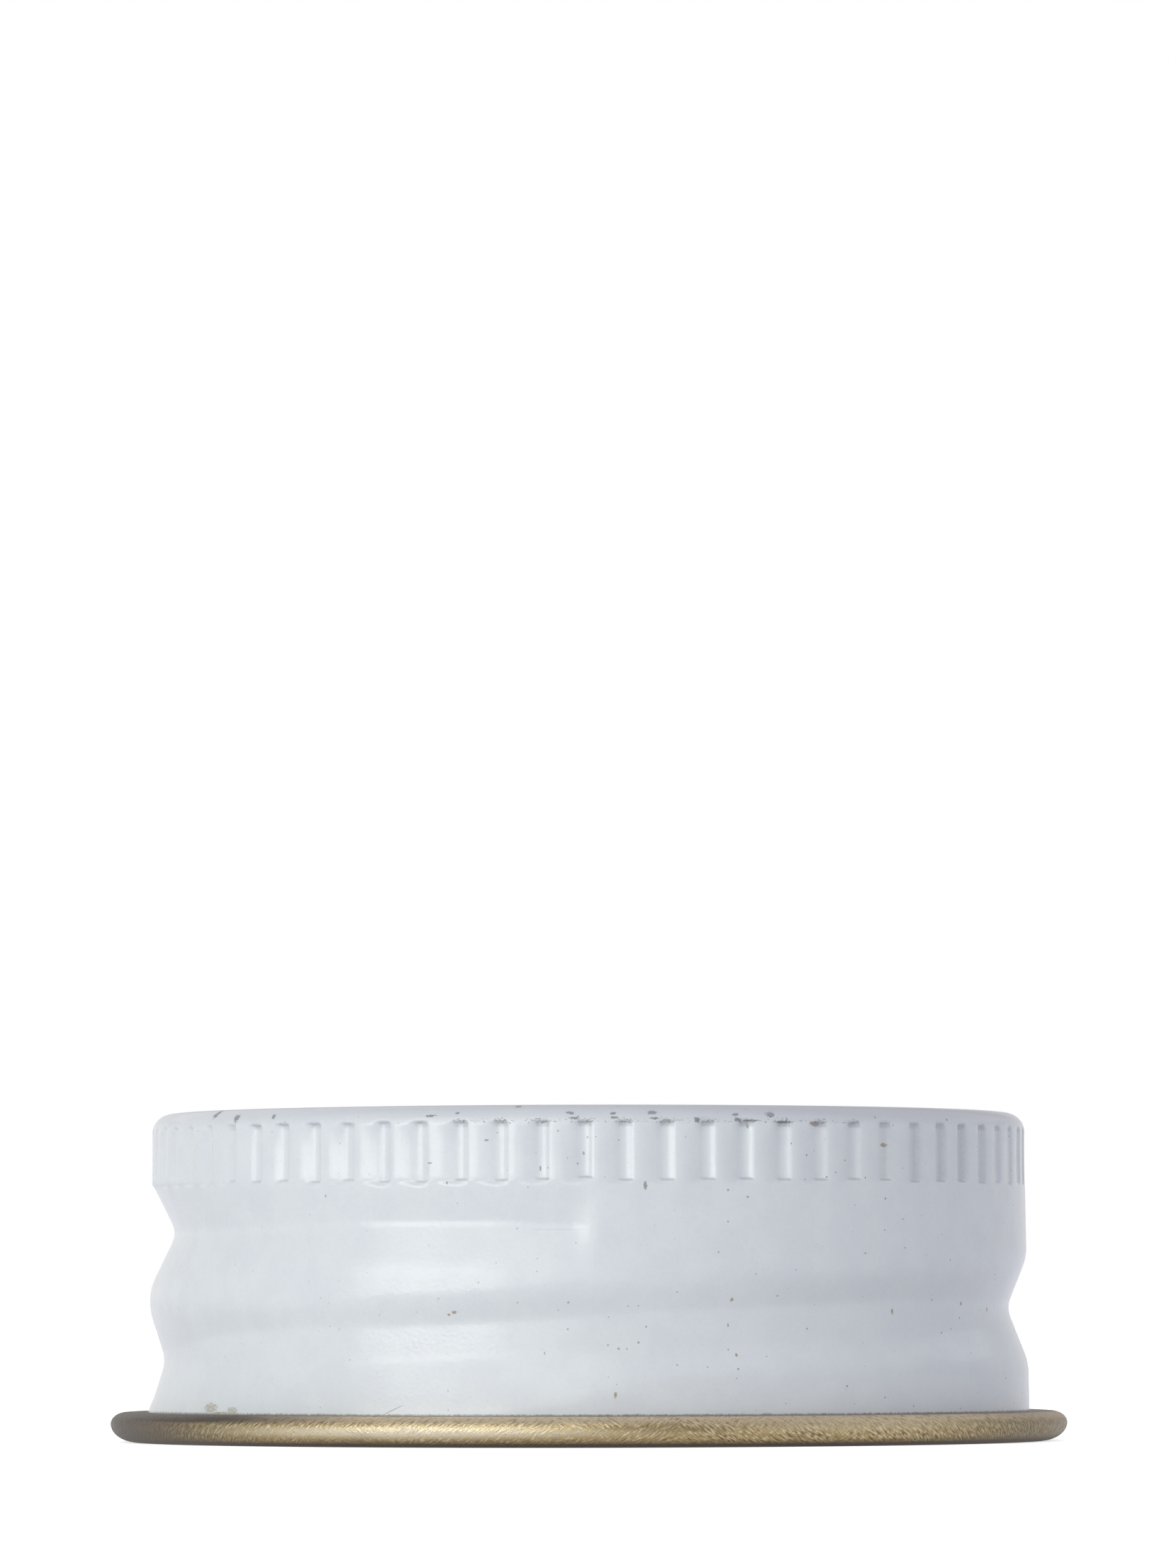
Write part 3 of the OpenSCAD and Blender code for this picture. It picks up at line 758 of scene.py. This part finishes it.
def makeEnamel(look, radius):
    # gloss enamel: two close tints mottled together, with specks of dirt and rust, chips along the
    # shoulder, strokes, painted shade in the knurl slots and on the shoulder and panel, darker to the
    # right there, painted shade in the corner over the curl with beige fuzz caught in it, fine scratches
    # and a faint orange peel
    finish = Finish(bpy.data.materials.new("whiteEnamel"))
    point = finish.places()
    axes = finish.apart(point)
    height = axes.out("Z")
    angle, side = finish.around(axes)
    wall = finish.flat(side * radius, height)
    arc = finish.flat(angle * radius, height)
    degrees = finish.flat(angle * math.degrees(1), height)
    fine = finish.noise(point, *look["fine"])
    mottle = finish.noise(point, *look["mottle"])
    flecks = finish.noise(finish.turned(wall, 0, look["fleckStretch"]), *look["flecks"])
    ragged = (finish.noise(point, *look["ragged"]) - 0.5) * look["raggedness"]
    rust = patchCover(finish, degrees, look["brown"], ragged)
    grey = patchCover(finish, degrees, look["grey"], ragged)
    chips = patchCover(finish, degrees, look["chips"], ragged * look["chipRaggedness"])
    chips = chips * height.ramp(*look["chipHeights"])
    chips = chips.max((finish.mark("wear") * flecks).ramp(*look["fleckRamp"]) * look["wornShare"])
    strokes = [(strokeCover(finish, arc, first, last, halfWidth, radius) * strength, look["dirtAndShade"])
               for first, last, halfWidth, strength in look["strokes"]]
    # painted shade on the shoulder and panel, stronger to the right
    shoulderShade = height.ramp(*look["shoulderShadeHeights"]) * (axes.out("X") / radius).ramp(*look["shoulderShadeRamp"])
    # painted shade in the corner over the curl, darkest down at the bead
    corner = (height + (fine - 0.5) * look["cornerShadeUneven"]).ramp(*look["cornerShadeHeights"])
    smudge = patchCover(finish, degrees, look["smudge"], ragged) * flecks.ramp(*look["fuzzRamp"])
    colour = finish.layered(look["pale"],
                            (mottle.ramp(*look["mottleRamp"]), look["cool"]),
                            (fine.ramp(*look["cloudRamp"]) * look["cloudShare"], look["clouded"]),
                            *specks(finish, point, side, look),
                            (rust * look["rustShare"], look["rust"]),
                            (grey * look["greyShare"], look["dirtAndShade"]),
                            # painted shade in the knurl slots, at their tops and at their feet
                            (finish.mark("grime") * fine.ramp(*look["grimeRamp"]), look["grime"]),
                            (chips * look["chipShare"], look["tin"]),
                            *strokes,
                            # painted shade on the shoulder and panel
                            (shoulderShade, look["shoulderShade"]),
                            # painted shade in the corner over the curl
                            (corner * look["cornerShadeShare"], look["dirtAndShade"]),
                            (smudge, look["fuzz"]))
    scratches = finish.turned(wall, look["scratchTurn"], look["scratchStretch"])
    scratches = finish.noise(scratches, *look["scratch"]).ramp(*look["scratchRamp"])
    scratched = finish.noise(point, *look["scratched"]).ramp(*look["scratchedRamp"])
    heights = {"peel": finish.noise(point, *look["peel"]), "grain": finish.noise(point, *look["grain"]),
               "ripple": finish.noise(point, *look["ripple"]) * height.ramp(*look["rippleHeights"]),
               "scratches": scratches * scratched, "chips": chips}
    roughness = (fine - 0.5) * look["roughSpread"] + look["roughness"] + chips * look["chipRough"]
    return finish.surface({"Base Color": colour, "Roughness": roughness, "IOR": look["ior"]},
                          heights, look["bumps"])


def makeLacquer(look, radius):
    # gold lacquer over tin: a warm metal, tan near the cut edge, with painted shade under the nose, a
    # painted contact shadow on the underside and painted shade in the crevice at the wall, a painted
    # highlight on the nose at the front left, covered by two families of fine crossing scratches and by
    # pits from rolling, soiled on the upper left, and with painted shade towards its ends
    finish = Finish(bpy.data.materials.new("goldLacquer"))
    axes = finish.apart(finish.places())
    height = axes.out("Z")
    angle, side = finish.around(axes)
    sheet = finish.flat(side * radius, finish.mark("run"))
    degrees = finish.flat(angle * math.degrees(1), height)
    first, second = [finish.noise(finish.turned(sheet, turn, look["stretch"]), *look["scratch"])
                     for turn in look["turns"]]
    patches = finish.noise(sheet, *look["patches"])
    pits = finish.noise(sheet, *look["pits"])
    weave = first + (second - first) * (patches + side * look["familyShift"]).ramp(*look["familyRamp"])

    def covered(kind, raggedness):
        # the patches of one kind, made ragged by the weave
        ragged = (weave - 0.5) * look[raggedness]
        return patchCover(finish, degrees, look[kind], ragged, look["softEdge"])

    turn = side * math.degrees(1)
    soiledAndShaded = (turn + look["soilStart"] + patches * look["soilUneven"]).ramp(*look["soilRamp"])
    soiledAndShaded = soiledAndShaded * height.ramp(*look["soilHeights"]) * look["soilShare"]
    # painted shade towards both ends of the bead as seen from the front, more at the left end
    fromMiddle = finish.maths("ABSOLUTE", turn - look["endMiddle"])
    soiledAndShaded = soiledAndShaded.max(fromMiddle.ramp(*look["endRamp"]) * look["endShare"])
    soiledAndShaded = soiledAndShaded + (turn * -1).ramp(*look["leftRamp"]) * look["leftShare"]
    colour = finish.layered(look["gold"],
                            (height.ramp(*look["tanHeights"]), look["tan"]),
                            (weave.ramp(*look["brightRamp"]) * look["brightShare"], look["bright"]),
                            (weave.ramp(*look["darkRamp"]) * look["darkShare"], look["stainAndShade"]),
                            (covered("paler", "palerRagged") * look["palerShare"], look["bright"]),
                            (covered("tarnished", "tarnishRagged") * look["tarnishShare"], look["stainAndShade"]),
                            # painted highlight on the nose, where the key lamp's reflection falls
                            (covered("noseHighlight", "noseHighlightRagged") * look["noseHighlightShare"], look["highlightCream"]),
                            (patches.ramp(*look["patchRamp"]) * look["patchShare"], look["stainAndShade"]),
                            # painted shade under the nose
                            (height.ramp(*look["noseShadeHeights"]) * look["noseShadeShare"], look["stainAndShade"]),
                            (pits.ramp(*look["pitRamp"]) * look["pitShare"], look["stainAndShade"]),
                            # painted shade in the crevice at the wall
                            (height.ramp(*look["creviceShadeHeights"]) * look["creviceShadeShare"], look["stainAndShade"]),
                            # painted contact shadow on the underside
                            (height.ramp(*look["contactShadowHeights"]) * look["contactShadowShare"], look["under"]),
                            # dirt on the upper left and painted shade towards the bead's ends
                            (soiledAndShaded, look["dark"]))
    roughness = (weave - 0.5) * look["roughSpread"] + look["roughness"]
    return finish.surface({"Base Color": colour, "Metallic": 1.0, "Roughness": roughness},
                          {"weave": weave, "pits": pits}, look["bumps"])


def makeTin(look):
    # bare cut edge of the sheet: two greys mixed by a fine noise
    finish = Finish(bpy.data.materials.new("bareTin"))
    colour = finish.mix(finish.noise(finish.places(), *look["grain"]), look["pale"], look["dull"])
    return finish.surface({"Base Color": colour, "Metallic": 1.0, "Roughness": look["roughness"]})


shellRadius = capShell["form"]["crownRadius"]
shellFinishes = [makeEnamel(capShell["enamel"], shellRadius),
                 makeLacquer(capShell["lacquer"], shellRadius), makeTin(capShell["tin"])]
print("enamel, lacquer and tin ready")
shell = makePiece("capShell", shellRings(capShell), shellFinishes)
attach(shell, "root")
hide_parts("shell")


discLow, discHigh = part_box("liner")
sealingDisc = {
    "radius": discHigh[0] / mm, "top": discHigh[2] / mm, "thickness": (discHigh[2] - discLow[2]) / mm,
    # radius of its edges and points on it, radii of the grid's rows on its faces, and columns
    "round": 0.12, "roundPoints": 5, "rows": (4, 9, 12), "columns": 240,
    "facing": (0.78, 0.74, 0.64), "board": (0.60, 0.52, 0.40), "fibre": (0.52, 0.45, 0.34),
    "pulp": (0.42, 0.36, 0.28), "roughness": 0.8,
    # height over the lower face from which the facing shows, and its edge
    "faced": (0.06, 0.02),
    # two families of fibres, each a turn and a noise: scale in 1/mm, detail and roughness
    "fibres": [(25, (1.6, 4, 0.65)), (-50, (1.4, 4, 0.65))], "stretch": (1.5, 7, 7),
    "pulpNoise": (6, 4, 0.7), "fibreRamp": (0.95, 1.25), "pulpRamp": (0.62, 0.75),
    "fibreShare": 0.25, "pulpShare": 0.35, "bumps": {"fibres": (0.3, 0.03), "pulp": (0.35, 0.04)},
}


def discRings(disc):
    # a flat disc with edges rounded by quarter circles, from the upper pole out and back under
    angles = evenAngles(0, disc["columns"])
    high, low, rounding = disc["top"], disc["top"] - disc["thickness"], disc["round"]
    bend, count = disc["radius"] - rounding, disc["roundPoints"]
    outline = np.concatenate([[(radius, high) for radius in disc["rows"]],
                              ellipse(bend, high - rounding, rounding, rounding, 90, 0, count),
                              ellipse(bend, low + rounding, rounding, rounding, 0, -90, count),
                              [(radius, low) for radius in reversed(disc["rows"])]])
    rings = Rings()
    rings.lay(pole(high))
    for radius, height in outline:
        rings.lay(ringPoints(angles, radius, height))
    rings.lay(pole(low))
    return rings


def makeBoard(disc):
    # pulpboard: grey-brown pulp at the edge, a paler facing below, short fibres all over
    finish = Finish(bpy.data.materials.new("pulpBoard"))
    point = finish.places()
    low = disc["top"] - disc["thickness"]
    first, second = [finish.noise(finish.turned(point, turn, disc["stretch"]), *noise)
                     for turn, noise in disc["fibres"]]
    fibres = first + second
    pulp = finish.noise(point, *disc["pulpNoise"])
    faced = finish.apart(point).out("Z").ramp(*(low + above for above in disc["faced"]))
    colour = finish.layered(disc["board"], (faced, disc["facing"]),
                            (fibres.ramp(*disc["fibreRamp"]) * disc["fibreShare"], disc["fibre"]),
                            (pulp.ramp(*disc["pulpRamp"]) * disc["pulpShare"], disc["pulp"]))
    return finish.surface({"Base Color": colour, "Roughness": disc["roughness"]},
                          {"fibres": fibres, "pulp": pulp}, disc["bumps"])


liner = makePiece("sealingDisc", discRings(sealingDisc), [makeBoard(sealingDisc)])
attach(liner, "root")
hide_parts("liner")


studio = {
    # the floor's side in m, and its glow as seen by the camera and in mirrors
    "floorSize": 4.0, "floorColour": (0.85, 0.85, 0.87), "floorGlow": (0.7, 0.35),
    # the surroundings as light at the horizon on the left and on the right, and overhead
    "left": (0.83, 0.845, 0.835), "right": (0.64, 0.64, 0.71), "zenith": (0.47, 0.47, 0.52),
    # as mirrored, grey in the same three places, and how far right and how high each gives way
    "mirrored": (1.0, 0.8, 0.55), "sideRamp": (-0.9, 0.9), "lightRamp": (0.05, 0.85),
    "mirrorRamp": (0.0, 0.5),
    # name: angle, rise, distance in m, width and height in m, power in W, colour
    "lamps": {
        "softKey": (-41.5, 2.6, 0.6, (0.44, 0.16), 0.67, (1.0, 1.0, 0.93)),
        "softFill": (-27, 14, 0.9, (0.9, 0.9), 3.5, (0.99, 1.0, 0.94)),
        "softBack": (-150, 35, 0.9, (0.6, 0.6), 0.4, (1.0, 0.98, 0.97)),
        "softRight": (135, 35, 0.9, (0.6, 0.6), 0.35, (0.96, 0.96, 1.0)),
    },
    "lampAim": 5,  # height of the point that the lamps face
    # the camera's place, its lens and sensor in mm, how it is pitched up and rolled, and its clipping
    # distances in m
    "away": 293.15, "height": 4.19, "across": -0.025, "lens": 204.95, "sensor": 36, "pitch": 3.391,
    "roll": 0.11, "clip": (0.01, 20),
}


def makeFloor(look):
    # pale floor that shows white where it is lit and keeps the shadow: matt, with a glow that only
    # camera, mirror and through-glass rays see
    finish = Finish(bpy.data.materials.new("paleFloor"))
    path = finish.node("ShaderNodeLightPath")
    direct, mirrored = look["floorGlow"]
    seen = path.out("Is Camera Ray").max(path.out("Is Transmission Ray")) * direct
    seen = seen.max(path.out("Is Glossy Ray") * mirrored)
    matt = finish.node("ShaderNodeBsdfDiffuse", sockets={"Color": (*look["floorColour"], 1)})
    glow = finish.node("ShaderNodeEmission", sockets={"Color": (1, 1, 1, 1), "Strength": seen})
    both = finish.node("ShaderNodeAddShader", sockets={0: matt, 1: glow})
    finish.node("ShaderNodeOutputMaterial", sockets={"Surface": both})
    half = look["floorSize"] / 2
    corners = [(-half, -half, 0), (half, -half, 0), (half, half, 0), (-half, half, 0)]
    mesh = bpy.data.meshes.new("floor")
    mesh.from_pydata(corners, [], [(0, 1, 2, 3)])
    mesh.materials.append(finish.owner)
    floor = bpy.data.objects.new("floor", mesh)
    scene.collection.objects.link(floor)


def makeWorld(look):
    # white to the camera; as light and in reflections pale at the horizon, more so on the left,
    # and darker overhead
    world = bpy.data.worlds.new("studio")
    scene.world = world
    finish = Finish(world)
    axes = finish.apart(finish.node("ShaderNodeTexCoord", output="Generated"))
    rise, side = axes.out("Z"), axes.out("X").ramp(*look["sideRamp"])
    path = finish.node("ShaderNodeLightPath")
    light = finish.mix(side, look["left"], look["right"])
    light = finish.mix(rise.ramp(*look["lightRamp"]), light, look["zenith"])
    left, right, overhead = [(grey, grey, grey) for grey in look["mirrored"]]
    mirrored = finish.mix(rise.ramp(*look["mirrorRamp"]), finish.mix(side, left, right), overhead)
    glossy = path.out("Is Glossy Ray").max(path.out("Is Transmission Ray"))
    shown = finish.mix(path.out("Is Camera Ray"), finish.mix(glossy, light, mirrored), (1, 1, 1))
    back = finish.node("ShaderNodeBackground", sockets={"Color": shown, "Strength": 1.0})
    finish.node("ShaderNodeOutputWorld", sockets={"Surface": back})


def makeLamp(name, aim, angle, rise, away, size, power, colour):
    # a soft box that faces the point at the height aim on the axis, from an angle, a rise and a
    # distance
    lamp = bpy.data.lights.new(name, "AREA")
    lamp.shape, lamp.energy, lamp.color = "RECTANGLE", power, colour
    lamp.size, lamp.size_y = size
    turn, lift = math.radians(angle), math.radians(rise)
    way = Vector((math.sin(turn) * math.cos(lift), -math.cos(turn) * math.cos(lift), math.sin(lift)))
    holder = bpy.data.objects.new(name, lamp)
    holder.location = way * away + Vector((0, 0, aim * mm))
    holder.rotation_euler = way.to_track_quat("Z", "Y").to_euler()
    scene.collection.objects.link(holder)


def makeCamera(view):
    # in front of the cap at its distance and height, a little across, pitched up and rolled
    lens = bpy.data.cameras.new("camera")
    lens.sensor_fit, lens.sensor_width, lens.lens = "AUTO", view["sensor"], view["lens"]
    lens.clip_start, lens.clip_end = view["clip"]
    camera = bpy.data.objects.new("camera", lens)
    camera.location = (view["across"] * mm, -view["away"] * mm, view["height"] * mm)
    camera.rotation_euler = (math.radians(90 + view["pitch"]), math.radians(view["roll"]), 0)
    scene.collection.objects.link(camera)
    scene.camera = camera


makeFloor(studio)
makeWorld(studio)
for lampName, lampValues in studio["lamps"].items():
    makeLamp(lampName, studio["lampAim"], *lampValues)
makeCamera(studio)
scene.view_settings.view_transform = "Standard"
print("floor, light and camera ready")
